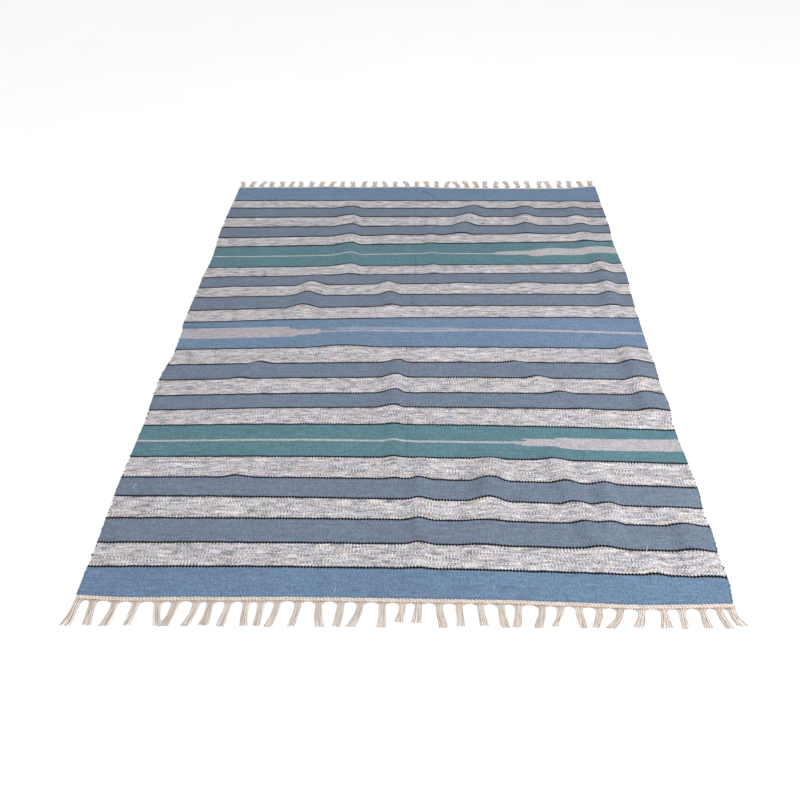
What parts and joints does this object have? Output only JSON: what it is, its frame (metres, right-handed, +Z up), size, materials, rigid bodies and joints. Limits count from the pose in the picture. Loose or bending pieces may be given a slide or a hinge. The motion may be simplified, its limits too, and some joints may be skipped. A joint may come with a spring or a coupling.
{
  "type": "kilim",
  "caption": "Flat-woven striped cotton kilim with tasselled fringe at both ends, laid out on a floor with its soft ripples.",
  "frame": {"origin": "middle of the woven field's underside, on the floor", "axes": "+X across the rug, to the right seen from the near end; +Y along the rug, from the near end to the far end; +Z up from the floor"},
  "size_m": [1.426, 2.1397, 0.023],
  "materials": {
    "field": "matte flat-woven cotton in weft stripes of blue, grey-blue, teal and speckled white, with black pinstripes",
    "fringe": "matte natural cotton warp ends"
  },
  "bodies": {
    "root": {"field": "field", "fringe_near": "fringe", "fringe_far": "fringe"}
  },
  "joints": []
}
